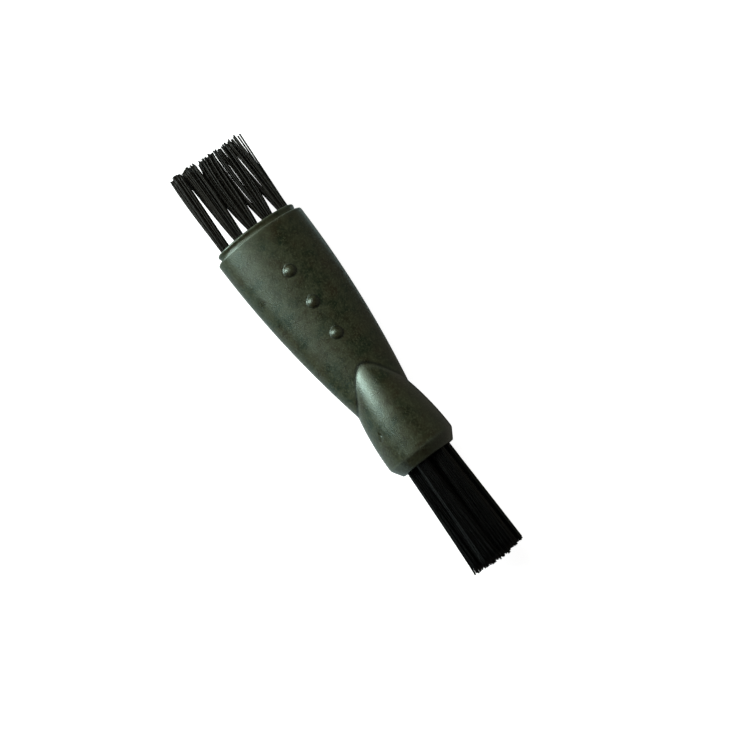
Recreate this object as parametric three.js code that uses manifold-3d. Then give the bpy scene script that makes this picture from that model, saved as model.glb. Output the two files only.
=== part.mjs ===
// A small double-ended brush for cleaning the grooves of golf clubs: one moulded plastic handle
// with a wide brush of five tufts in a row at one end and a round brush of seven tufts at the
// other.
//
// Each tuft is a bundle of nylon bristles folded in half round an anchor, a short piece of flat
// wire. Bundle and anchor are driven together into a blind hole, and the anchor's two ends cut a
// slot in the hole's wall as they go in. That is what holds the tuft.
//
// Millimetres. X runs along the brush, from the wide brush to the round one, Y is the handle's
// width and Z its thickness. The origin is below the middle of the whole brush, level with its
// lowest point.

import * as THREE from 'three';
import { mergeVertices } from 'three/addons/utils/BufferGeometryUtils.js';
import Module from 'manifold-3d';

const wasm = await Module();
wasm.setup();

// Lengths along X. Together they are the brush's overall length.
const WIDE_TRIM = 13.0; // bristles beyond the wide boss
const BOSS_HEIGHT = 1.1;
const BODY_LENGTH = 37.3;
const END_BEVEL = 1.6;
const ROUND_TRIM = 17.0; // bristles beyond the handle's round end
const OVERALL = WIDE_TRIM + BOSS_HEIGHT + BODY_LENGTH + END_BEVEL + ROUND_TRIM;

// The flat blade, which tapers from the wide brush to the waist and on inside the round head.
const BLADE_HALF_WIDTH = 7.1;
const BLADE_NARROWING = 2.8; // how much narrower each side is at the waist
const WAIST = 28.7; // from the wide shoulder
const BLADE_HALF_THICKNESS = 3.9;
const BLADE_THINNING = 0.03; // per mm of length
const BLADE_LENGTH = 35.0;

// The round head, whose tongue rises out of the blade at its tip and grows to the full section.
const HEAD_HALF_WIDTH = 5.25;
const HEAD_HALF_THICKNESS = 4.8;
const HEAD_START = 22.5; // from the wide shoulder, inside the blade
const TONGUE_TIP = 23.4; // from the wide shoulder
const TONGUE_TIP_HALF_THICKNESS = 3.2;
const TONGUE_RISE_POWER = 2.6;
const HEAD_WIDTH_CURVE = 0.01285;
const BEVEL_INSET = 1.0;

const BOSS_INSET = 0.65; // the ledge all round the wide boss
const BOSS_ROOT = 1.0; // how far the boss reaches into the blade

// The grip dots, three on each side.
const DOT_PLACES = [7.1, 12.45, 17.8]; // from the wide shoulder
const DOT_RADIUS = 0.88;
const DOT_HEIGHT = 0.45;

// The tufts, their holes and their anchors.
const HOLE_DEPTH = 4.0;
const HOLE_CLEARANCE = 0.1;
const ANCHOR_THICKNESS = 0.25;
const ANCHOR_HEIGHT = 1.5; // along X
const ANCHOR_BITE = 0.25; // into the hole's wall, at each end
const ANCHOR_DEPTH = 1.7; // from the hole's mouth
const ANCHOR_CLEARANCE = 0.05;
const FOLD_HEIGHT = 0.6; // the bundle's rounded fold below the anchor

const WIDE_TUFT_RADIUS = 0.7;
const WIDE_TUFT_COUNT = 5;
const WIDE_PITCH = 2.5;
const WIDE_ROW_OFFSET = 0.1;
const WIDE_TIP_RADIUS = 1.05;
const WIDE_TIP_PITCH = 2.38;
const WIDE_TIP_OFFSET = 0.28;
const WIDE_ANCHOR_TURN = Math.PI / 2; // across the row

const ROUND_TUFT_RADIUS = 0.75;
const ROUND_RING_COUNT = 6; // round the middle tuft
const ROUND_PITCH = 2.7;
const ROUND_TIP_RADIUS = 1.2;
const ROUND_TIP_PITCH = 2.6;
const ROUND_LEAN = -0.4; // of the tips, along Y
const ROUND_RING_SHORTER = 0.4; // the ring's tips stand back from the middle tuft's
const ROUND_ANCHOR_TURN = Math.PI / 12; // keeps every slot clear of the next one

const HANDLE_SIDES = 48;
const HOLE_SIDES = 16;
const TUFT_SIDES = 12;
const DOT_SIDES = 16;

// Places that follow from the dimensions above.
const AXIS_HEIGHT = HEAD_HALF_THICKNESS;
const BOSS_FACE = WIDE_TRIM - OVERALL / 2;
const SHOULDER = BOSS_FACE + BOSS_HEIGHT;
const BEVEL_START = SHOULDER + BODY_LENGTH;
const END_FACE = BEVEL_START + END_BEVEL;

const handlePlastic = { color: 0x3a4238, roughness: 0.45, metalness: 0 };
const wideNylon = { color: 0x17150f, roughness: 0.5, metalness: 0 };
const roundNylon = { color: 0x0a0a0b, roughness: 0.5, metalness: 0 };
const anchorWire = { color: 0xb5b0a4, roughness: 0.35, metalness: 1 };

const brush = new THREE.Group();

function addPiece(name, geometry, finish) {
  geometry.computeVertexNormals();
  const piece = new THREE.Mesh(geometry, new THREE.MeshStandardMaterial(finish));
  piece.name = name;
  brush.add(piece);
}

// A closed geometry as a solid that can be joined and cut.
function solid(geometry) {
  const plain = geometry.clone();
  plain.deleteAttribute('normal');
  plain.deleteAttribute('uv');
  const merged = mergeVertices(plain, 1e-5);
  return new wasm.Manifold(new wasm.Mesh({
    numProp: 3,
    vertProperties: new Float32Array(merged.attributes.position.array),
    triVerts: new Uint32Array(merged.index.array),
  }));
}

function toGeometry(body) {
  const mesh = body.getMesh();
  const geometry = new THREE.BufferGeometry();
  geometry.setAttribute('position', new THREE.BufferAttribute(mesh.vertProperties, 3));
  geometry.setIndex(new THREE.BufferAttribute(mesh.triVerts, 1));
  return geometry;
}

// A closed body through elliptical rings across X. Each ring is { x, y, z, halfWidth,
// halfThickness }, where y and z are its centre, and the rings go in the order of rising x.
function loft(rings, sides) {
  const geometry = new THREE.CylinderGeometry(1, 1, 1, sides, rings.length - 1);
  const position = geometry.attributes.position;
  for (let i = 0; i < position.count; i += 1) {
    const ring = rings[Math.round((0.5 - position.getY(i)) * (rings.length - 1))];
    const y = ring.y + ring.halfWidth * position.getX(i);
    const z = ring.z + ring.halfThickness * position.getZ(i);
    position.setXYZ(i, ring.x, y, z);
  }
  return geometry;
}

// A round-sectioned rod along X between two places.
function rod(radius, start, end, sides) {
  return new THREE.CylinderGeometry(radius, radius, end - start, sides)
    .rotateZ(Math.PI / 2)
    .translate((start + end) / 2, 0, 0);
}

function spaced(start, end, count) {
  return Array.from({ length: count }, (_, i) => start + ((end - start) * i) / (count - 1));
}

// The handle's outer shape. Distances named along are measured from the wide shoulder.

function bladeRing(along) {
  return {
    x: SHOULDER + along,
    y: 0,
    z: AXIS_HEIGHT,
    halfWidth: BLADE_HALF_WIDTH - BLADE_NARROWING * (along / WAIST) ** 2,
    halfThickness: BLADE_HALF_THICKNESS - BLADE_THINNING * along,
  };
}

function headRing(along) {
  const toEnd = BODY_LENGTH - along;
  const rise = HEAD_HALF_THICKNESS - TONGUE_TIP_HALF_THICKNESS;
  const share = toEnd / (BODY_LENGTH - TONGUE_TIP);
  return {
    x: SHOULDER + along,
    y: 0,
    z: AXIS_HEIGHT,
    halfWidth: HEAD_HALF_WIDTH - HEAD_WIDTH_CURVE * toEnd ** 2,
    halfThickness: HEAD_HALF_THICKNESS - rise * share ** TONGUE_RISE_POWER,
  };
}

function blade() {
  return solid(loft(spaced(0, BLADE_LENGTH, 15).map(bladeRing), HANDLE_SIDES));
}

function head() {
  const rings = spaced(HEAD_START, BODY_LENGTH, 13).map(headRing);
  const end = {
    x: END_FACE,
    y: 0,
    z: AXIS_HEIGHT,
    halfWidth: HEAD_HALF_WIDTH - BEVEL_INSET,
    halfThickness: HEAD_HALF_THICKNESS - BEVEL_INSET,
  };
  return solid(loft([...rings, end], HANDLE_SIDES));
}

function boss() {
  const section = {
    y: 0,
    z: AXIS_HEIGHT,
    halfWidth: BLADE_HALF_WIDTH - BOSS_INSET,
    halfThickness: BLADE_HALF_THICKNESS - BOSS_INSET,
  };
  const rings = [BOSS_FACE, SHOULDER + BOSS_ROOT].map((x) => ({ ...section, x }));
  return solid(loft(rings, HANDLE_SIDES));
}

// One low dome. side is 1 on the front and -1 on the back.
function dot(along, side) {
  const sphereRadius = (DOT_RADIUS ** 2 + DOT_HEIGHT ** 2) / (2 * DOT_HEIGHT);
  const top = bladeRing(along).halfThickness + DOT_HEIGHT;
  const sphere = new THREE.SphereGeometry(sphereRadius, DOT_SIDES, DOT_SIDES)
    .rotateX(Math.PI / 2)
    .translate(SHOULDER + along, 0, AXIS_HEIGHT + side * (top - sphereRadius));
  return solid(sphere);
}

// The tufts. Each is { y, z } at its hole's mouth and { tipX, tipY, tipZ } at its tips. A brush
// has its hole's mouth at x = mouth, and inward is 1 where its holes run towards +X.

const wideBrush = {
  mouth: BOSS_FACE,
  inward: 1,
  tuftRadius: WIDE_TUFT_RADIUS,
  tipRadius: WIDE_TIP_RADIUS,
  anchorTurn: WIDE_ANCHOR_TURN,
  tufts: Array.from({ length: WIDE_TUFT_COUNT }, (_, i) => {
    const fromMiddle = i - (WIDE_TUFT_COUNT - 1) / 2;
    return {
      y: WIDE_ROW_OFFSET + fromMiddle * WIDE_PITCH,
      z: AXIS_HEIGHT,
      tipX: -OVERALL / 2,
      tipY: WIDE_TIP_OFFSET + fromMiddle * WIDE_TIP_PITCH,
      tipZ: AXIS_HEIGHT,
    };
  }),
};

const roundRing = Array.from({ length: ROUND_RING_COUNT }, (_, i) => {
  const angle = (2 * Math.PI * i) / ROUND_RING_COUNT;
  return {
    y: ROUND_PITCH * Math.cos(angle),
    z: AXIS_HEIGHT + ROUND_PITCH * Math.sin(angle),
    tipX: OVERALL / 2 - ROUND_RING_SHORTER,
    tipY: ROUND_LEAN + ROUND_TIP_PITCH * Math.cos(angle),
    tipZ: AXIS_HEIGHT + ROUND_TIP_PITCH * Math.sin(angle),
  };
});

const roundMiddle = { y: 0, z: AXIS_HEIGHT, tipX: OVERALL / 2, tipY: ROUND_LEAN, tipZ: AXIS_HEIGHT };

const roundBrush = {
  mouth: END_FACE,
  inward: -1,
  tuftRadius: ROUND_TUFT_RADIUS,
  tipRadius: ROUND_TIP_RADIUS,
  anchorTurn: ROUND_ANCHOR_TURN,
  tufts: [roundMiddle, ...roundRing],
};

// The anchor's room: a flat box across a tuft's axis, grown by a clearance on every side.
function anchorBox(layout, tuft, clearance) {
  const width = 2 * (layout.tuftRadius + HOLE_CLEARANCE + ANCHOR_BITE + clearance);
  const height = ANCHOR_HEIGHT + 2 * clearance;
  const middle = layout.mouth + layout.inward * (ANCHOR_DEPTH + ANCHOR_HEIGHT / 2);
  return new THREE.BoxGeometry(height, width, ANCHOR_THICKNESS + 2 * clearance)
    .rotateX(layout.anchorTurn)
    .translate(middle, tuft.y, tuft.z);
}

// The slot that the anchor cuts on its way in, from the hole's mouth to the anchor's far edge.
function anchorSlot(layout, tuft) {
  const width = 2 * (layout.tuftRadius + HOLE_CLEARANCE + ANCHOR_BITE + ANCHOR_CLEARANCE);
  const reach = ANCHOR_DEPTH + ANCHOR_HEIGHT + ANCHOR_CLEARANCE;
  const overshoot = 1;
  const middle = layout.mouth + (layout.inward * (reach - overshoot)) / 2;
  return new THREE.BoxGeometry(reach + overshoot, width, ANCHOR_THICKNESS + 2 * ANCHOR_CLEARANCE)
    .rotateX(layout.anchorTurn)
    .translate(middle, tuft.y, tuft.z);
}

function tuftHole(layout, tuft) {
  const overshoot = 1;
  const ends = [layout.mouth - layout.inward * overshoot, layout.mouth + layout.inward * HOLE_DEPTH];
  return rod(layout.tuftRadius + HOLE_CLEARANCE, Math.min(...ends), Math.max(...ends), HOLE_SIDES)
    .translate(0, tuft.y, tuft.z);
}

// A tuft stands straight in its hole, then spreads and leans towards its tips.
function tuftBody(layout, tuft) {
  const foldEnd = ANCHOR_DEPTH + ANCHOR_HEIGHT + FOLD_HEIGHT;
  const ring = (depth, radius, towardsTip) => ({
    x: layout.mouth + layout.inward * depth,
    y: tuft.y + (tuft.tipY - tuft.y) * towardsTip,
    z: tuft.z + (tuft.tipZ - tuft.z) * towardsTip,
    halfWidth: radius,
    halfThickness: radius,
  });
  const trim = Math.abs(tuft.tipX - layout.mouth);
  const spread = layout.tipRadius - layout.tuftRadius;
  const rings = [
    ring(-trim, layout.tipRadius, 1),
    ring(-trim / 2, layout.tuftRadius + spread / 2, 1 / 2),
    ring(0, layout.tuftRadius, 0),
    ring(foldEnd - FOLD_HEIGHT / 2, layout.tuftRadius, 0),
    ring(foldEnd, layout.tuftRadius / 2, 0),
  ];
  rings.sort((a, b) => a.x - b.x);
  const window = solid(anchorBox(layout, tuft, ANCHOR_CLEARANCE));
  return solid(loft(rings, TUFT_SIDES)).subtract(window);
}

function handle() {
  let body = blade().add(head()).add(boss());
  for (const along of DOT_PLACES) {
    body = body.add(dot(along, 1)).add(dot(along, -1));
  }
  for (const layout of [wideBrush, roundBrush]) {
    for (const tuft of layout.tufts) {
      body = body.subtract(solid(tuftHole(layout, tuft)));
      body = body.subtract(solid(anchorSlot(layout, tuft)));
    }
  }
  return body;
}

addPiece('handle', toGeometry(handle()), handlePlastic);

function addTufts(prefix, layout, nylon) {
  layout.tufts.forEach((tuft, i) => {
    addPiece(`${prefix}_tuft_${i + 1}`, toGeometry(tuftBody(layout, tuft)), nylon);
    addPiece(`${prefix}_anchor_${i + 1}`, anchorBox(layout, tuft, 0), anchorWire);
  });
}

addTufts('wide', wideBrush, wideNylon);
addTufts('round', roundBrush, roundNylon);

export default brush;
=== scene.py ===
# The looks of a small double-ended brush for the grooves of golf clubs, built round its CAD frame.
# Lengths are in millimetres until a mesh is made. X runs along the brush from the wide brush to
# the round one, Y is the handle's width and Z its thickness. Distances named along are measured
# on X from the wide shoulder, where the blade ends and the boss begins.

import math
import random

import bmesh
import bpy
import numpy as np
from mathutils import Matrix, Vector, geometry


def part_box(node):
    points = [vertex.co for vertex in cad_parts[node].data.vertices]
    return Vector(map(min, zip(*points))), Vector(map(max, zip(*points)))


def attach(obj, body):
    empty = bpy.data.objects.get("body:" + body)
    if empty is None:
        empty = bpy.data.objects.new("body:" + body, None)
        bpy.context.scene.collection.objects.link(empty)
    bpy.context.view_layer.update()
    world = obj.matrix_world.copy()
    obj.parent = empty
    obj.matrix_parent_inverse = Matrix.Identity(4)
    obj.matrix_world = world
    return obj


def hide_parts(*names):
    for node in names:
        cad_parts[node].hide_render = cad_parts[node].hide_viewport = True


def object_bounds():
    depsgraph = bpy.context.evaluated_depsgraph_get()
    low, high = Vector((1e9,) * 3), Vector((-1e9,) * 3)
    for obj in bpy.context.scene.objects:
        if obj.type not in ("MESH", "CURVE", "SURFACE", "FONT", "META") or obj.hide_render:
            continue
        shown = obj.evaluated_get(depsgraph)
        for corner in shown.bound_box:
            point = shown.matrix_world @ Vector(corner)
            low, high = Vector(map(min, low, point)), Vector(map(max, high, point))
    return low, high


MM = 0.001

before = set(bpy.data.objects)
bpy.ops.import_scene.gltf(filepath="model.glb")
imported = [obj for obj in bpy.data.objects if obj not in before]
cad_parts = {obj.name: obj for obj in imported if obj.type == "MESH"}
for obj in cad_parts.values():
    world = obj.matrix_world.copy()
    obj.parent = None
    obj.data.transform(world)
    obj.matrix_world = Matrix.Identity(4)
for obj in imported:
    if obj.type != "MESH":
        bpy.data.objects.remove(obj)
cad_box = [list(corner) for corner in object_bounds()]

# ---------------------------------------------------------------- dimensions from the frame

handle_low, handle_high = (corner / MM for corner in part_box("handle"))
BOSS_FACE = handle_low.x
END_FACE = handle_high.x
AXIS_HEIGHT = (handle_low.z + handle_high.z) / 2
BLADE_HALF_WIDTH = handle_high.y
HEAD_HALF_THICKNESS = handle_high.z - AXIS_HEIGHT

BOSS_HEIGHT = 1.1
END_BEVEL = 1.6
SHOULDER = BOSS_FACE + BOSS_HEIGHT
BODY_LENGTH = END_FACE - END_BEVEL - SHOULDER

# The blade narrows and thins from the shoulder to the waist.
BLADE_NARROWING = 2.8
WAIST = 28.7
BLADE_HALF_THICKNESS = 3.9
BLADE_THINNING = 0.03  # for each millimetre along

# The round head and its tongue, which rises out of the blade.
HEAD_HALF_WIDTH = 5.25
HEAD_WIDTH_CURVE = 0.01285
HEAD_START = 22.5
TONGUE_TIP = 23.4
TONGUE_TIP_HALF_THICKNESS = 3.2
TONGUE_RISE_POWER = 2.6
BEVEL_INSET = 1.0

# The boss that carries the wide brush, with a shallow groove behind its rounded edge.
BOSS_INSET = 0.65
BOSS_GROOVE = 0.11
BOSS_GROOVE_RUN = 0.5

DOT_PLACES = (7.1, 12.45, 17.8)
DOT_RADIUS = 0.88
DOT_HEIGHT = 0.45

# The moulded surface's fine shapes.
EDGE_RADIUS = 0.22
BOSS_RADIUS = 0.20
END_RADIUS = 0.12
CREASE_BLEND = 0.09
SEAM_HEIGHT = 0.03
SEAM_WIDTH = 0.07

# Small dents: (along, y, z above the axis), radius, depth.
NICKS = (
    ((32.7, -3.67, 3.1), 0.24, 0.26),
    ((33.2, -3.95, 2.8), 0.18, 0.18),
    ((0.1, 2.8, 3.5), 0.18, 0.10),
)

# The handle's mesh: its columns, how far they draw towards its narrow sides, and its rings.
HANDLE_SIDES = 320
SIDE_DRAW = 0.7
RING_STEP = 0.3
CREASE_RING_STEP = 0.11
DOT_RING_STEP = 0.08
RING_HOLD = 0.04
ARC_STEPS = 7

# Where the plastic is rubbed or scuffed, and where highlight and shade are painted on it.
EDGE_WEAR_WIDTH = 0.2
# A pale band up the tongue's side, just above its crease: a painted highlight on its rim.
TONGUE_HIGHLIGHT = 0.9
TONGUE_HIGHLIGHT_RISE = 0.16
TONGUE_HIGHLIGHT_WIDTH = 0.12
# A dark band on the blade just outside the tongue's crease: painted shade.
CREASE_SHADE_DROP = 0.07
CREASE_SHADE_WIDTH = 0.10
DOT_SCUFF_RADIUS = 1.1
# A dark ring round the foot of each dot: painted shade.
DOT_SHADE = 0.9
DOT_SHADE_WIDTH = 0.13

# Holes and anchors.
HOLE_DEPTH = 4.0
HOLE_CLEARANCE = 0.1
HOLE_ROUND_STEPS = 13
MOUTH_BEVEL = 0.07
SLOT_BEVEL_SHARE = 0.3
ANCHOR_BITE = 0.25
ANCHOR_CLEARANCE = 0.05
ANCHOR_THICKNESS = 0.25

# Bristles, and how many rows and columns of them a bundle is picked from. The powers say how
# soon along a bristle it drifts or strays.
BRISTLE_RADIUS = 0.13
BRISTLE_SIDES = 8
BRISTLE_STEPS = 13
PACKING = 2.03 * BRISTLE_RADIUS
BUNDLE_REACH = 8
DRIFT_POWER = 1.15
STRAY_POWER = 1.35
BELLY_SCALE = 6.75  # makes the most of share**2 * (1 - share) equal 1
STRAY_SHARES = (1.0, 0.85)

# A bristle's fold: how far before its anchor it straightens, and its curve beyond the anchor.
FOLD_LEAD = 0.3
FOLD_GAP = 0.05
FOLD_ROUNDNESS = 1.05
FOLD_TURNS = (30, 60, 90, 120, 150)

# Colours of the handle's plastic, linear.
OLIVE_GREEN = (0.0038, 0.0070, 0.0022)
OLIVE_BROWN = (0.0125, 0.0092, 0.0033)
MOTTLE = (0.0185, 0.0188, 0.0082)
DUST = (0.0330, 0.0345, 0.0190)
# The pale of rubbed edges, also used as a painted highlight along the tongue's rim.
RUBBED_AND_HIGHLIGHT = (0.055, 0.062, 0.048)
# Painted shade, for the tongue's crease and the feet of the dots.
PAINTED_SHADE_COLOUR = (0.002, 0.002, 0.001)

# Colours of the anchors' wire, linear.
BRIGHT_WIRE = (0.58, 0.55, 0.49)
TARNISHED_WIRE = (0.34, 0.30, 0.24)

# The camera's target is (along, y) on the axis. Its offset is from there.
CAMERA_TARGET = (25.28, 1.09)
CAMERA_OFFSET = (21.2, -26.2, 199.2)
CAMERA_UP = (-0.797, 0.604, 0)
CAMERA_SENSOR = 36
CAMERA_LENS = 70.08

# The stage, in metres: a round floor with a curved rise to its backdrop, and a round card.
STAGE_SIDES = 96
FLOOR_RADIUS = 1.2
COVE_RADIUS = 0.4
COVE_STEPS = 12
BACKDROP_HEIGHT = 3.0
CARD_RADIUS = 0.8
CARD_DISTANCE = 0.79
CARD_SIDE = Vector((-0.586, -0.810, 0))  # towards the key light


# ---------------------------------------------------------------- node helpers


def new_material(name):
    material = bpy.data.materials.new(name)
    material.use_nodes = True
    shader = material.node_tree.nodes["Principled BSDF"]
    return material, material.node_tree, shader


def add_node(tree, kind, **settings):
    node = tree.nodes.new(kind)
    for key, value in settings.items():
        setattr(node, key, value)
    return node


def noise(tree, where, scale, detail, roughness=0.5):
    node = add_node(tree, "ShaderNodeTexNoise")
    node.inputs["Scale"].default_value = scale
    node.inputs["Detail"].default_value = detail
    node.inputs["Roughness"].default_value = roughness
    tree.links.new(where, node.inputs["Vector"])
    return node.outputs["Fac"]


def remap(tree, value, low, high, to_low, to_high):
    """Stretches low..high to to_low..to_high, and holds what falls outside."""
    node = add_node(tree, "ShaderNodeMapRange")
    sockets = ("From Min", "From Max", "To Min", "To Max")
    for name, number in zip(sockets, (low, high, to_low, to_high)):
        node.inputs[name].default_value = number
    tree.links.new(value, node.inputs["Value"])
    return node.outputs["Result"]


def blend_colours(tree, factor, first, second):
    """Goes from first to second. Each is a colour or a node's output."""
    node = add_node(tree, "ShaderNodeMix", data_type="RGBA")
    for socket, value in ((node.inputs[6], first), (node.inputs[7], second)):
        if isinstance(value, tuple):
            socket.default_value = (*value, 1)
        else:
            tree.links.new(value, socket)
    tree.links.new(factor, node.inputs[0])
    return node.outputs[2]


def combine(tree, operation, first, second):
    """Arithmetic on two values. Each is a number or a node's output."""
    node = add_node(tree, "ShaderNodeMath", operation=operation)
    for socket, value in zip(node.inputs, (first, second)):
        if isinstance(value, (int, float)):
            socket.default_value = value
        else:
            tree.links.new(value, socket)
    return node.outputs[0]


def bump(tree, height, strength, distance, under=None):
    """A bumped normal, on top of another bump if one is given. Distance is in metres."""
    node = add_node(tree, "ShaderNodeBump")
    node.inputs["Strength"].default_value = strength
    node.inputs["Distance"].default_value = distance
    tree.links.new(height, node.inputs["Height"])
    if under is not None:
        tree.links.new(under, node.inputs["Normal"])
    return node.outputs["Normal"]


def object_place(tree):
    return add_node(tree, "ShaderNodeTexCoord").outputs["Object"]


def stretched(tree, place, scale):
    """Place with each axis scaled, which draws a pattern out along an axis scaled below 1."""
    mapping = add_node(tree, "ShaderNodeMapping")
    mapping.inputs["Scale"].default_value = scale
    tree.links.new(place, mapping.inputs["Vector"])
    return mapping.outputs["Vector"]


def attribute(tree, name):
    return add_node(tree, "ShaderNodeAttribute", attribute_name=name).outputs["Fac"]


# ---------------------------------------------------------------- materials


def handle_plastic():
    """Satin moulded polypropylene in mottled olive, with a fine mould grain. The mesh says where it
    is rubbed pale, where a pale painted highlight runs along the tongue's rim, where it is
    roughened, and where painted shade darkens the tongue's crease and the feet of the dots."""
    material, tree, shader = new_material("handle_plastic")
    place = object_place(tree)
    cloud = noise(tree, place, scale=260, detail=2)
    patch = noise(tree, place, scale=750, detail=3)
    speck = noise(tree, place, scale=3600, detail=2, roughness=0.7)
    grain = noise(tree, place, scale=7000, detail=2, roughness=0.6)
    waviness = noise(tree, place, scale=420, detail=1)

    flow = remap(tree, cloud, 0.41, 0.59, 0, 1)
    olive = blend_colours(tree, flow, OLIVE_GREEN, OLIVE_BROWN)
    mottled = blend_colours(tree, remap(tree, patch, 0.42, 0.62, 0, 0.8), olive, MOTTLE)
    dusty = blend_colours(tree, remap(tree, speck, 0.47, 0.66, 0, 0.75), mottled, DUST)
    uneven = remap(tree, grain, 0.35, 0.6, 0.1, 0.55)
    # Rubbed edges and the painted highlight along the tongue's rim turn the colour pale.
    worn_and_highlit = combine(tree, "MULTIPLY", attribute(tree, "wear_and_highlight"), uneven)
    rubbed_and_highlit = blend_colours(tree, worn_and_highlit, dusty, RUBBED_AND_HIGHLIGHT)
    # Painted shade darkens the tongue's crease and the feet of the dots.
    crease_and_dot_shade = combine(tree, "MULTIPLY", attribute(tree, "painted_shade"), 0.85)
    colour = blend_colours(tree, crease_and_dot_shade, rubbed_and_highlit, PAINTED_SHADE_COLOUR)
    tree.links.new(colour, shader.inputs["Base Color"])

    satin = remap(tree, patch, 0.3, 0.7, 0.27, 0.35)
    scuffing = combine(tree, "MULTIPLY", attribute(tree, "scuff"), 0.06)
    tree.links.new(combine(tree, "ADD", satin, scuffing), shader.inputs["Roughness"])
    wavy = bump(tree, waviness, strength=0.25, distance=0.00006)
    grainy = bump(tree, grain, strength=0.8, distance=0.000034, under=wavy)
    tree.links.new(grainy, shader.inputs["Normal"])
    shader.inputs["IOR"].default_value = 1.49
    shader.inputs["Specular Tint"].default_value = (0.81, 1.0, 0.92, 1)
    return material


def nylon(name, dark, light, roughness, gloss):
    """Extruded nylon bristles: each its own shade, with fine draw lines along its length."""
    material, tree, shader = new_material(name)
    lines = noise(tree, stretched(tree, object_place(tree), (0.04, 1, 1)), scale=14000, detail=2)
    colour = blend_colours(tree, attribute(tree, "shade"), dark, light)
    uneven = remap(tree, lines, 0.3, 0.7, roughness - 0.06, roughness + 0.06)
    drawn = bump(tree, lines, strength=0.3, distance=0.000006)
    tree.links.new(colour, shader.inputs["Base Color"])
    tree.links.new(uneven, shader.inputs["Roughness"])
    tree.links.new(drawn, shader.inputs["Normal"])
    shader.inputs["IOR"].default_value = 1.53
    shader.inputs["Specular IOR Level"].default_value = gloss
    return material


def anchor_wire():
    """Flat drawn wire: satin metal with fine lines and a faint tarnish."""
    material, tree, shader = new_material("anchor_wire")
    place = object_place(tree)
    lines = noise(tree, stretched(tree, place, (1, 1, 0.05)), scale=16000, detail=2)
    tarnish = remap(tree, noise(tree, place, scale=1800, detail=3), 0.4, 0.7, 0, 0.6)
    colour = blend_colours(tree, tarnish, BRIGHT_WIRE, TARNISHED_WIRE)
    satin = remap(tree, lines, 0.3, 0.7, 0.25, 0.42)
    drawn = bump(tree, lines, strength=0.3, distance=0.000005)
    tree.links.new(colour, shader.inputs["Base Color"])
    tree.links.new(satin, shader.inputs["Roughness"])
    tree.links.new(drawn, shader.inputs["Normal"])
    shader.inputs["Metallic"].default_value = 1
    return material


def white_card(name, colour, glow):
    """Matt pale card. A glow of its own keeps it white where little light falls."""
    material, _, shader = new_material(name)
    shader.inputs["Base Color"].default_value = (*colour, 1)
    shader.inputs["Roughness"].default_value = 0.9
    shader.inputs["Specular IOR Level"].default_value = 0.0
    shader.inputs["Emission Color"].default_value = (1, 1, 1, 1)
    shader.inputs["Emission Strength"].default_value = glow
    return material


# ---------------------------------------------------------------- the handle's surface


def ellipse_radius(half_width, half_thickness, angle):
    return 1 / np.sqrt((np.cos(angle) / half_width) ** 2 + (np.sin(angle) / half_thickness) ** 2)


def smooth_max(first, second, blend):
    """The larger of two, with a small fillet where they are nearly equal."""
    overlap = np.maximum(blend - np.abs(first - second), 0) / blend
    return np.maximum(first, second) + overlap**2 * blend / 4


def blade_halves(along):
    """The blade's half width and half thickness."""
    share = max(along, 0) / WAIST
    half_width = BLADE_HALF_WIDTH - BLADE_NARROWING * share**2
    return half_width, BLADE_HALF_THICKNESS - BLADE_THINNING * max(along, 0)


def head_halves(along):
    """The round head's half width and half thickness. The tongue is where it first shows."""
    to_end = max(BODY_LENGTH - along, 0)
    rise = HEAD_HALF_THICKNESS - TONGUE_TIP_HALF_THICKNESS
    share = to_end / (BODY_LENGTH - TONGUE_TIP)
    half_width = HEAD_HALF_WIDTH - HEAD_WIDTH_CURVE * to_end**2
    return half_width, HEAD_HALF_THICKNESS - rise * share**TONGUE_RISE_POWER


def dot_reach(along, angle, place, side):
    """How far the dome of one dot reaches from the axis, or 0 where it isn't met."""
    sphere = (DOT_RADIUS**2 + DOT_HEIGHT**2) / (2 * DOT_HEIGHT)
    centre = side * (blade_halves(place)[1] + DOT_HEIGHT - sphere)
    room = sphere**2 - (along - place) ** 2 - (centre * np.cos(angle)) ** 2
    return np.where(room > 0, centre * np.sin(angle) + np.sqrt(np.maximum(room, 0)), 0)


def oval(halves, inset, angle):
    """The radius of an ellipse with these halves, each less the inset."""
    half_width, half_thickness = halves
    return ellipse_radius(half_width - inset, half_thickness - inset, angle)


def section(along, inset, angle):
    """The handle's radius round the axis at one place, with its outline set in by inset."""
    radius = oval(blade_halves(along), inset, angle)
    if along > HEAD_START:
        radius = smooth_max(radius, oval(head_halves(along), inset, angle), CREASE_BLEND)
    for place in DOT_PLACES:
        if abs(along - place) < 2 * DOT_RADIUS:
            for side in (1, -1):
                radius = np.maximum(radius, dot_reach(along, angle, place, side))
    if inset == 0:
        radius = radius + SEAM_HEIGHT * np.exp(-((radius * np.sin(angle) / SEAM_WIDTH) ** 2))
    return radius


def body_stations():
    """Places along the body, close together at the dots and at the tongue's crease."""
    margin = EDGE_RADIUS + 0.05
    places = [margin]
    while places[-1] < BODY_LENGTH - margin:
        here = places[-1]
        at_dot = min(abs(here - place) for place in DOT_PLACES) < DOT_RADIUS + 0.25
        at_crease = TONGUE_TIP - 0.9 < here < WAIST + 0.8
        step = DOT_RING_STEP if at_dot else CREASE_RING_STEP if at_crease else RING_STEP
        places.append(here + step)
    return places[:-1]


def outer_corner(along, inset, radius):
    """(along, inset) on a quarter turn round a centre, from facing -X to facing outwards."""
    turns = np.radians(np.linspace(180, 90, ARC_STEPS))
    return [(along + radius * math.cos(t), inset - radius * math.sin(t)) for t in turns]


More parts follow.
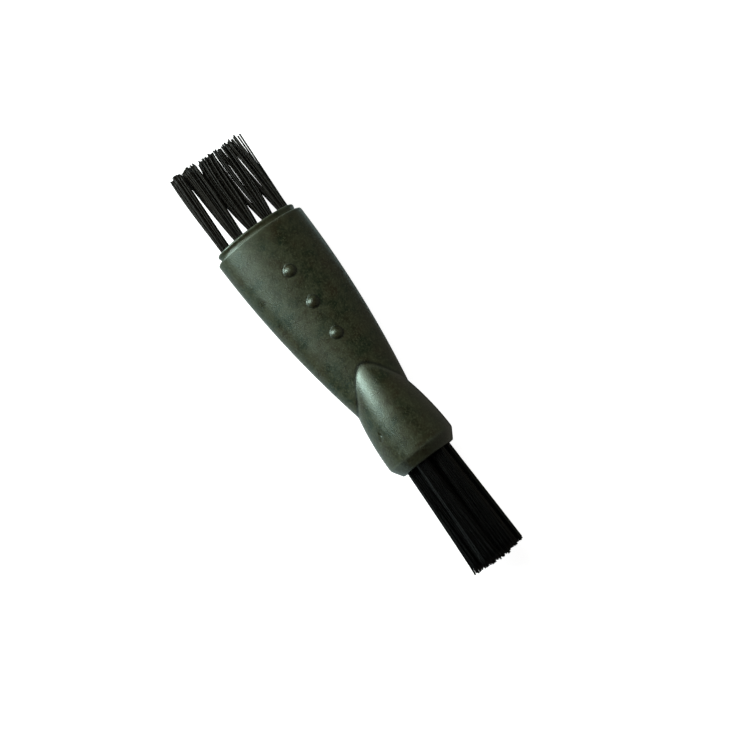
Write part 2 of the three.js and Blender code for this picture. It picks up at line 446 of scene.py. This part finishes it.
def handle_profile():
    """(along, inset) for every ring of the handle, from the boss's flat face to the end face."""
    # The boss's rounded edge, the groove behind it and the ledge up to the shoulder.
    boss_end = -BOSS_HEIGHT
    rings = [(boss_end, BOSS_INSET + BOSS_RADIUS + RING_HOLD)]
    rings += outer_corner(boss_end + BOSS_RADIUS, BOSS_INSET + BOSS_RADIUS, BOSS_RADIUS)
    groove = BOSS_INSET + BOSS_GROOVE
    for share in np.linspace(0, 1, ARC_STEPS)[1:]:
        dip = 0.5 - 0.5 * math.cos(math.pi * share)
        along = boss_end + BOSS_RADIUS + BOSS_GROOVE_RUN * share
        rings.append((along, BOSS_INSET + BOSS_GROOVE * dip))
    rings += [(-0.10, groove), (-0.03, groove - 0.02), (0, groove - 0.09)]

    # The shoulder and the body.
    rings.append((0, EDGE_RADIUS + RING_HOLD))
    rings += outer_corner(EDGE_RADIUS, EDGE_RADIUS, EDGE_RADIUS)
    rings += [(place, 0) for place in body_stations()]

    # A curve into the head's bevel, the bevel, and its rounded edge on the end face.
    slope = math.atan2(BEVEL_INSET, END_BEVEL)
    setback = EDGE_RADIUS * 1.2
    for share in np.linspace(0, 1, ARC_STEPS):
        turned = setback * math.cos(slope) * share**2
        along = BODY_LENGTH - setback * (1 - share) ** 2 + turned
        rings.append((along, setback * math.sin(slope) * share**2))
    for share in (0.35, 0.55, 0.75, 1 - END_RADIUS / END_BEVEL):
        rings.append((BODY_LENGTH + END_BEVEL * share, BEVEL_INSET * share))
    end = BODY_LENGTH + END_BEVEL
    for before, inward in ((0.04, 0.01), (0.01, 0.05), (0, END_RADIUS)):
        rings.append((end - before, BEVEL_INSET + inward))
    rings.append((end, BEVEL_INSET + END_RADIUS + RING_HOLD))
    return rings


def nick(points, where, radius, depth):
    """Presses a small round dent towards the axis, which is at y = z = 0 here."""
    along, y, z = where
    centre = np.array((SHOULDER + along, y, z))
    gap = np.linalg.norm(points - centre, axis=-1)
    inward = points * np.array([0, -1, -1])
    inward /= np.maximum(np.linalg.norm(inward, axis=-1, keepdims=True), 1e-9)
    return points + inward * (depth * np.exp(-((gap / radius) ** 2)))[..., None]


def turned_place(y, z, turn):
    """A place (y, z) turned about the X axis."""
    c, s = math.cos(turn), math.sin(turn)
    return y * c - z * s, y * s + z * c


def hole_outline(radius, reach, half_slot, turn, grow):
    """A round hole's outline with its anchor's two slots, as (y, z) from its centre."""
    radius = radius + grow
    reach = reach + SLOT_BEVEL_SHARE * grow
    half_slot = half_slot + SLOT_BEVEL_SHARE * grow
    edge = math.asin(half_slot / radius)
    points = []
    for half in (0, math.pi):
        for angle in np.linspace(edge, math.pi - edge, HOLE_ROUND_STEPS):
            points.append((radius * math.cos(angle + half), radius * math.sin(angle + half)))
        for side in (1, -1):
            points.append(turned_place(-reach, side * half_slot, half))
    return [turned_place(y, z, turn) for y, z in points]


def hole_levels(brush):
    """(depth, outline) for the loops down one hole, from just outside its bevelled mouth."""
    radius = brush["tuft_radius"] + HOLE_CLEARANCE
    reach = radius + ANCHOR_BITE + ANCHOR_CLEARANCE
    half_slot = ANCHOR_THICKNESS / 2 + ANCHOR_CLEARANCE
    slot_depth = brush["anchor_end"] + ANCHOR_CLEARANCE
    no_slot = radius + 0.01
    shapes = [
        (0, reach, MOUTH_BEVEL + RING_HOLD),
        (0, reach, MOUTH_BEVEL),
        (MOUTH_BEVEL, reach, 0),
        (slot_depth, reach, 0),
        (slot_depth, no_slot, 0),
        (HOLE_DEPTH, no_slot, 0),
    ]
    turn = brush["anchor_turn"]
    return [
        (depth, hole_outline(radius, far, half_slot, turn, grow)) for depth, far, grow in shapes
    ]


def flat_end(bm, rim, brush):
    """Closes one end of the handle with a flat face, and sinks the tufts' holes into it."""
    holes = []
    for y, z in brush["places"]:
        levels = []
        for depth, outline in hole_levels(brush):
            x = brush["mouth"] + brush["inward"] * depth
            levels.append([bm.verts.new((x, y + dy, z + dz)) for dy, dz in outline])
        holes.append(levels)
    verts = list(rim)
    edges = []
    for levels in holes:
        first = len(verts)
        verts += levels[0]
        count = len(levels[0])
        edges += [(first + i, first + (i + 1) % count) for i in range(count)]
    coords = [Vector((vert.co.y, vert.co.z)) for vert in verts]
    result = geometry.delaunay_2d_cdt(coords, edges, [list(range(len(rim)))], 1, 1e-7)
    triangles, origins = result[2], result[3]
    for triangle in triangles:
        corners = [verts[origins[i][0]] for i in triangle]
        middle_y = sum(vert.co.y for vert in corners) / 3
        middle_z = sum(vert.co.z for vert in corners) / 3
        if not any(inside(middle_y, middle_z, levels[0]) for levels in holes):
            bm.faces.new(corners)
    for levels in holes:
        for upper, lower in zip(levels, levels[1:]):
            join_loops(bm, upper, lower)
        bm.faces.new(levels[-1])


def inside(y, z, loop):
    """Whether a place lies within a closed loop of the end face."""
    hit = False
    for first, second in zip(loop, loop[1:] + loop[:1]):
        y1, z1, y2, z2 = first.co.y, first.co.z, second.co.y, second.co.z
        if (z1 > z) != (z2 > z) and y < (y2 - y1) * (z - z1) / (z2 - z1) + y1:
            hit = not hit
    return hit


def join_loops(bm, first, second):
    count = len(first)
    for i in range(count):
        j = (i + 1) % count
        bm.faces.new((first[i], first[j], second[j], second[i]))


def make_object(name, bm):
    """An object from a mesh in millimetres."""
    mesh = bpy.data.meshes.new(name)
    bmesh.ops.scale(bm, vec=(MM, MM, MM), verts=bm.verts)
    bm.to_mesh(mesh)
    bm.free()
    piece = bpy.data.objects.new(name, mesh)
    bpy.context.scene.collection.objects.link(piece)
    return piece


def bell(distance, width):
    """1 where distance is 0, and falling away on both sides."""
    return np.exp(-((distance / width) ** 2))


def handle_wear_and_painted_light(points, profile, angle):
    """How rubbed or lit by a painted highlight, how scuffed, and how darkened by painted shade the
    handle is at each of its points, from 0 to 1.
    """
    wear_and_highlight = np.zeros((len(profile), HANDLE_SIDES))
    scuff = np.zeros_like(wear_and_highlight)
    painted_shade = np.zeros_like(wear_and_highlight)
    edges = np.array((EDGE_RADIUS / 3, BODY_LENGTH, -BOSS_HEIGHT, BODY_LENGTH + END_BEVEL))
    for row, (along, inset) in enumerate(profile):
        wear_and_highlight[row] = bell(np.abs(along - edges).min(), EDGE_WEAR_WIDTH)
        if HEAD_START < along < WAIST + 1:
            head = oval(head_halves(along), inset, angle)
            above = head - oval(blade_halves(along), inset, angle)
            # On the tongue, a pale painted highlight along its rim takes the place of edge wear.
            wear_and_highlight[row] = TONGUE_HIGHLIGHT * bell(above - TONGUE_HIGHLIGHT_RISE, TONGUE_HIGHLIGHT_WIDTH)
            # Painted shade just outside the tongue's crease.
            painted_shade[row] = bell(above + CREASE_SHADE_DROP, CREASE_SHADE_WIDTH)
    rim = math.hypot(DOT_RADIUS, DOT_HEIGHT)
    for place in DOT_PLACES:
        for side in (1, -1):
            rise = side * (blade_halves(place)[1] + DOT_HEIGHT)
            top = np.array([SHOULDER + place, 0, AXIS_HEIGHT + rise])
            gap = np.linalg.norm(points - top, axis=-1)
            scuff = np.maximum(scuff, np.exp(-((gap / DOT_SCUFF_RADIUS) ** 6)))
            # Painted shade round the foot of each dot.
            painted_shade = np.maximum(painted_shade, DOT_SHADE * bell(gap - rim, DOT_SHADE_WIDTH))
    return {"wear_and_highlight": wear_and_highlight, "scuff": scuff, "painted_shade": painted_shade}


def handle_piece(brushes, material):
    """One closed mesh: rings along the handle, and an end face with holes at either end."""
    turn = np.linspace(0, 2 * math.pi, HANDLE_SIDES, endpoint=False)
    angle = np.arctan2(SIDE_DRAW * np.sin(turn), np.cos(turn))
    profile = handle_profile()
    rings = []
    for along, inset in profile:
        radius = section(along, inset, angle)
        x = np.full(HANDLE_SIDES, SHOULDER + along)
        rings.append(np.stack([x, radius * np.cos(angle), radius * np.sin(angle)], axis=1))
    points = np.array(rings)
    for where, radius, depth in NICKS:
        points = nick(points, where, radius, depth)
    points[..., 2] += AXIS_HEIGHT

    bm = bmesh.new()
    verts = [[bm.verts.new(point) for point in ring] for ring in points]
    for first, second in zip(verts, verts[1:]):
        join_loops(bm, first, second)
    flat_end(bm, verts[0], brushes[0])
    flat_end(bm, verts[-1], brushes[1])
    bmesh.ops.recalc_face_normals(bm, faces=bm.faces)
    for face in bm.faces:
        face.smooth = True
    piece = make_object("handle_body", bm)
    for name, amounts in handle_wear_and_painted_light(points, profile, angle).items():
        layer = piece.data.attributes.new(name, "FLOAT", "POINT")
        values = np.zeros(len(piece.data.vertices))
        values[: amounts.size] = amounts.ravel()
        layer.data.foreach_set("value", values)
    piece.data.materials.append(material)
    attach(piece, "root")
    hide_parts("handle")


# ---------------------------------------------------------------- tufts


def half_bundle(count, spacing):
    """Places (u, n) of bristles in the half of a bundle where n is above 0, packed closely."""
    places = []
    for row in range(BUNDLE_REACH):
        for column in range(-BUNDLE_REACH, BUNDLE_REACH + 1):
            u = (column + 0.5 * (row % 2)) * spacing
            n = spacing / 2 + row * spacing * math.sqrt(3) / 2
            places.append((u, n))
    places.sort(key=lambda place: (place[0] ** 2 + place[1] ** 2, place[0]))
    return places[:count]


def tube(points, radius, sides, vertices, faces):
    """Adds a closed round tube along points to a mesh's lists."""
    path = np.array(points)
    tangent = np.gradient(path, axis=0)
    tangent /= np.linalg.norm(tangent, axis=1, keepdims=True)
    off_axis = (0.0, 0.3, 1.0)  # never along a bristle
    side = np.cross(tangent[0], off_axis)
    first = len(vertices)
    for centre, ahead in zip(path, tangent):
        side = side - ahead * side.dot(ahead)
        side /= np.linalg.norm(side)
        other = np.cross(ahead, side)
        for i in range(sides):
            turn = 2 * math.pi * i / sides
            vertices.append(centre + radius * (side * math.cos(turn) + other * math.sin(turn)))
    for step in range(len(path) - 1):
        for i in range(sides):
            j = (i + 1) % sides
            a, b = first + step * sides, first + (step + 1) * sides
            faces.append((a + i, a + j, b + j, b + i))
    last = first + (len(path) - 1) * sides
    faces.append(tuple(first + i for i in reversed(range(sides))))
    faces.append(tuple(last + i for i in range(sides)))


def leg(brush, tuft, u, n, draw, stray=0.0):
    """One bristle from its tip to the hole's mouth, as points from the tip inwards. u lies along
    the anchor and n across it."""
    dy, dz = turned_place(u, n, brush["anchor_turn"])
    reach = brush["tuft_radius"] - BRISTLE_RADIUS
    widen = (tuft["half_width"] - BRISTLE_RADIUS) / reach - 1
    deepen = (brush["half_depth"] - BRISTLE_RADIUS) / reach - 1
    wander = [draw.gauss(0, brush["wander"]) for _ in range(2)]
    bow = [draw.gauss(0, brush["bow"]) for _ in range(2)]
    trim = tuft["trim"] + draw.uniform(-brush["ragged"], 0)
    points = []
    for share in np.linspace(1, 0, BRISTLE_STEPS):
        opened = 1 - (1 - share) ** tuft["rush"]
        drift = share**DRIFT_POWER
        belly = BELLY_SCALE * share**2 * (1 - share)
        y = tuft["y"] + (dy + brush["stagger"] * dz * opened) * (1 + widen * opened)
        y += (tuft["lean"] + wander[0]) * drift + stray * share**STRAY_POWER
        z = tuft["z"] + dz * (1 + deepen * opened) + wander[1] * drift
        x = brush["mouth"] - brush["inward"] * trim * share
        points.append((x, y + (tuft["belly"] + bow[0]) * belly, z + bow[1] * belly))
    return points


def folded_bristle(brush, tuft, u, n, draw, stray=0.0):
    """One bristle's whole length: tip, hole, fold under the anchor, hole, tip."""
    first = leg(brush, tuft, u, n, draw)
    second = leg(brush, tuft, u, -n, draw, stray)
    start, end = brush["anchor_start"] - FOLD_LEAD, brush["anchor_end"]
    half_wire = ANCHOR_THICKNESS / 2
    pushed = half_wire + n * (1 - half_wire / brush["tuft_radius"])

    def inner(depth, across):
        x = brush["mouth"] + brush["inward"] * depth
        dy, dz = turned_place(u, across, brush["anchor_turn"])
        return (x, tuft["y"] + dy, tuft["z"] + dz)

    fold = []
    for turn in np.radians(FOLD_TURNS):
        depth = end + FOLD_GAP + pushed * FOLD_ROUNDNESS * math.sin(turn)
        fold.append(inner(depth, pushed * math.cos(turn)))
    down = [inner(start, pushed), inner(end, pushed)]
    up = [inner(end, -pushed), inner(start, -pushed)]
    return first + down + fold + up + second[::-1]


def tuft_piece(name, brush, tuft, material):
    """All the bristles of one tuft as one mesh. Only its two outermost bristles may stray."""
    draw = random.Random(name)
    vertices, faces, shades = [], [], []
    bundle = half_bundle(brush["bristles"] // 2, PACKING)
    outermost = sorted(bundle, key=lambda place: -place[1])
    strays = dict(zip(outermost, STRAY_SHARES))
    for place in bundle:
        stray = tuft["stray"] * strays.get(place, 0.0)
        before = len(vertices)
        points = folded_bristle(brush, tuft, *place, draw, stray)
        tube(points, BRISTLE_RADIUS, BRISTLE_SIDES, vertices, faces)
        shades += [draw.random()] * (len(vertices) - before)
    mesh = bpy.data.meshes.new(name)
    mesh.from_pydata([tuple(vertex * MM) for vertex in vertices], [], faces)
    mesh.polygons.foreach_set("use_smooth", [len(face) == 4 for face in faces])
    layer = mesh.attributes.new("shade", "FLOAT", "POINT")
    layer.data.foreach_set("value", shades)
    mesh.materials.append(material)
    piece = bpy.data.objects.new(name, mesh)
    bpy.context.scene.collection.objects.link(piece)
    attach(piece, "root")
    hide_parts(tuft["node"])


def box_middle(node):
    low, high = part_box(node)
    return (low + high) / 2 / MM


def brush_layout(prefix, count, mouth, inward, **facts):
    """The places of one brush's tufts and anchors, read from their CAD nodes, with the facts given:
    bristles is the count of tips in a tuft, stagger shifts upper bristles sideways so that those
    one above another fan out, wander and bow are how far a bristle strays from its line at its tip
    and its middle, and ragged is how uneven the tips are."""
    anchors = [f"{prefix}_anchor_{i + 1}" for i in range(count)]
    low, high = (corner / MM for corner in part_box(anchors[0]))
    depths = sorted(abs(x - mouth) for x in (low.x, high.x))
    middles = [box_middle(node) for node in anchors]
    return {
        "prefix": prefix,
        "mouth": mouth,
        "inward": inward,
        "anchor_start": depths[0],
        "anchor_end": depths[1],
        "places": [(middle.y, middle.z) for middle in middles],
        **facts,
    }


def make_tufts(brush, shapes, material):
    """One piece for each tuft. A shape is (lean, belly, half width at the tips, how fast it
    widens, how much shorter it is, how far its stray bristles stand out)."""
    for i, ((y, z), shape) in enumerate(zip(brush["places"], shapes)):
        lean, belly, half_width, rush, shorter, stray = shape
        node = f"{brush['prefix']}_tuft_{i + 1}"
        low, high = (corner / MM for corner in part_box(node))
        tip = low.x if brush["inward"] > 0 else high.x
        tuft = {
            "node": node,
            "y": y,
            "z": z,
            "trim": abs(tip - brush["mouth"]) - shorter,
            "lean": lean,
            "belly": belly,
            "half_width": half_width,
            "rush": rush,
            "stray": stray,
        }
        tuft_piece(f"{brush['prefix']}_bristles_{i + 1}", brush, tuft, material)


# ---------------------------------------------------------------- camera, floor and lights


def look_at(thing, target, up):
    """Turns a camera or light to face the target."""
    back = (thing.location - target).normalized()
    right = up.cross(back).normalized()
    columns = Matrix((right, back.cross(right), back))
    thing.rotation_euler = columns.transposed().to_euler()


def add_camera():
    """Looks down on the brush from close by, a little from the round brush's side."""
    along, y = CAMERA_TARGET
    target = Vector((SHOULDER + along, y, AXIS_HEIGHT)) * MM
    data = bpy.data.cameras.new("camera")
    data.sensor_width = CAMERA_SENSOR
    data.lens = CAMERA_LENS
    data.clip_start = 0.01
    data.clip_end = 20
    camera = bpy.data.objects.new("camera", data)
    bpy.context.scene.collection.objects.link(camera)
    camera.location = target + Vector(CAMERA_OFFSET) * MM
    look_at(camera, target, Vector(CAMERA_UP))
    bpy.context.scene.camera = camera


def add_light(name, azimuth, elevation, distance, size, radiance, colour):
    """A soft box that faces the brush. Azimuth is in degrees from +X towards +Y. Distance and size
    are in metres, and radiance is how bright the box's face is."""
    data = bpy.data.lights.new(name, "AREA")
    data.shape = "RECTANGLE"
    data.size, data.size_y = size
    data.energy = radiance * math.pi * size[0] * size[1]
    data.color = colour
    lamp = bpy.data.objects.new(name, data)
    bpy.context.scene.collection.objects.link(lamp)
    lamp.visible_camera = False
    around, above = math.radians(azimuth), math.radians(elevation)
    flat = math.cos(above)
    towards = Vector((flat * math.cos(around), flat * math.sin(around), math.sin(above)))
    lamp.location = towards * distance
    look_at(lamp, Vector((0, 0, 0)), Vector((0, 0, 1)))


def add_world():
    """A faint even white light from everywhere."""
    world = bpy.data.worlds.new("studio")
    bpy.context.scene.world = world
    world.use_nodes = True
    background = world.node_tree.nodes["Background"]
    background.inputs["Color"].default_value = (1, 1, 1, 1)
    background.inputs["Strength"].default_value = 0.05


def stage_mesh(name, outline, material):
    """A round stage: an outline of (radius, height), in metres, turned about the upright axis."""
    bm = bmesh.new()
    turns = [2 * math.pi * i / STAGE_SIDES for i in range(STAGE_SIDES)]
    rings = []
    for radius, height in outline:
        places = [(radius * math.cos(t), radius * math.sin(t), height) for t in turns]
        rings.append([bm.verts.new(Vector(place) / MM) for place in places])
    bm.faces.new(rings[0])
    for first, second in zip(rings, rings[1:]):
        join_loops(bm, first, second)
    stage = make_object(name, bm)
    stage.data.materials.append(material)
    return stage


def add_floor():
    """A pale floor that curves up into its backdrop. Only the camera sees it."""
    ground = cad_box[0][2]
    outline = []
    for turn in np.linspace(0, math.pi / 2, COVE_STEPS):
        height = ground + COVE_RADIUS - COVE_RADIUS * math.cos(turn)
        outline.append((FLOOR_RADIUS + COVE_RADIUS * math.sin(turn), height))
    outline.append((FLOOR_RADIUS + COVE_RADIUS, BACKDROP_HEIGHT))
    floor = stage_mesh("floor", outline, white_card("floor_white", (0.45, 0.45, 0.45), 0.95))
    floor.visible_glossy = False
    floor.visible_diffuse = False
    floor.visible_shadow = False


def add_card():
    """A pale card flat beside the brush, under the key light. The camera doesn't see it, but it
    shows in reflections and gives soft light."""
    material = white_card("bounce_white", (0.46, 0.52, 0.55), 0.0)
    card = stage_mesh("bounce_card", [(CARD_RADIUS, cad_box[0][2])], material)
    card.location = CARD_SIDE * CARD_DISTANCE
    card.visible_camera = False
    card.visible_shadow = False


# ---------------------------------------------------------------- the scene


bpy.context.scene.view_settings.view_transform = "Standard"
add_camera()
add_floor()
add_card()
add_world()
add_light("key", 227, 28, 0.45, (0.20, 0.25), 24.0, (0.88, 1.0, 0.96))
add_light("key_glow", 206, 48, 0.45, (0.36, 0.26), 5.7, (0.95, 1.0, 0.87))
add_light("fill", 69, 0, 0.50, (1.2, 1.2), 0.20, (1.0, 0.92, 0.72))

wide_brush = brush_layout(
    "wide", 5, BOSS_FACE, 1,
    tuft_radius=0.70, half_depth=0.95, anchor_turn=math.pi / 2, bristles=30,
    stagger=0.3, wander=0.07, bow=0.07, ragged=0.40,
)
round_brush = brush_layout(
    "round", 7, END_FACE, -1,
    tuft_radius=0.75, half_depth=1.15, anchor_turn=math.pi / 12, bristles=36,
    stagger=0.2, wander=0.09, bow=0.05, ragged=0.6,
)

handle_piece((wide_brush, round_brush), handle_plastic())

wide_nylon = nylon("wide_nylon", (0.0022, 0.0018, 0.0012), (0.0062, 0.0050, 0.0034), 0.40, 0.11)
# Both brushes are the same nylon: the round brush's copy has its colour painted darker, as shade.
round_nylon_painted_dark = nylon("round_nylon_painted_dark", (0.0005, 0.0005, 0.0005), (0.0014, 0.0014, 0.0014), 0.28, 0.15)
make_tufts(
    wide_brush,
    [
        (0.43, 0.0, 0.75, 1.0, 0.0, 0.0),
        (0.07, 0.06, 1.08, 2.0, 0.0, 0.0),
        (0.50, -0.30, 1.16, 3.2, 0.15, 0.0),
        (0.13, 0.0, 1.30, 2.8, 0.20, 0.0),
        (-0.35, -0.03, 1.00, 2.4, 0.20, 0.90),
    ],
    wide_nylon,
)
make_tufts(round_brush, [(-0.42, 0.0, 1.15, 1.0, 0.0, 0.0)] * 7, round_nylon_painted_dark)

wire = anchor_wire()
for name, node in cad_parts.items():
    if "anchor" in name:
        node.data.materials.clear()
        node.data.materials.append(wire)
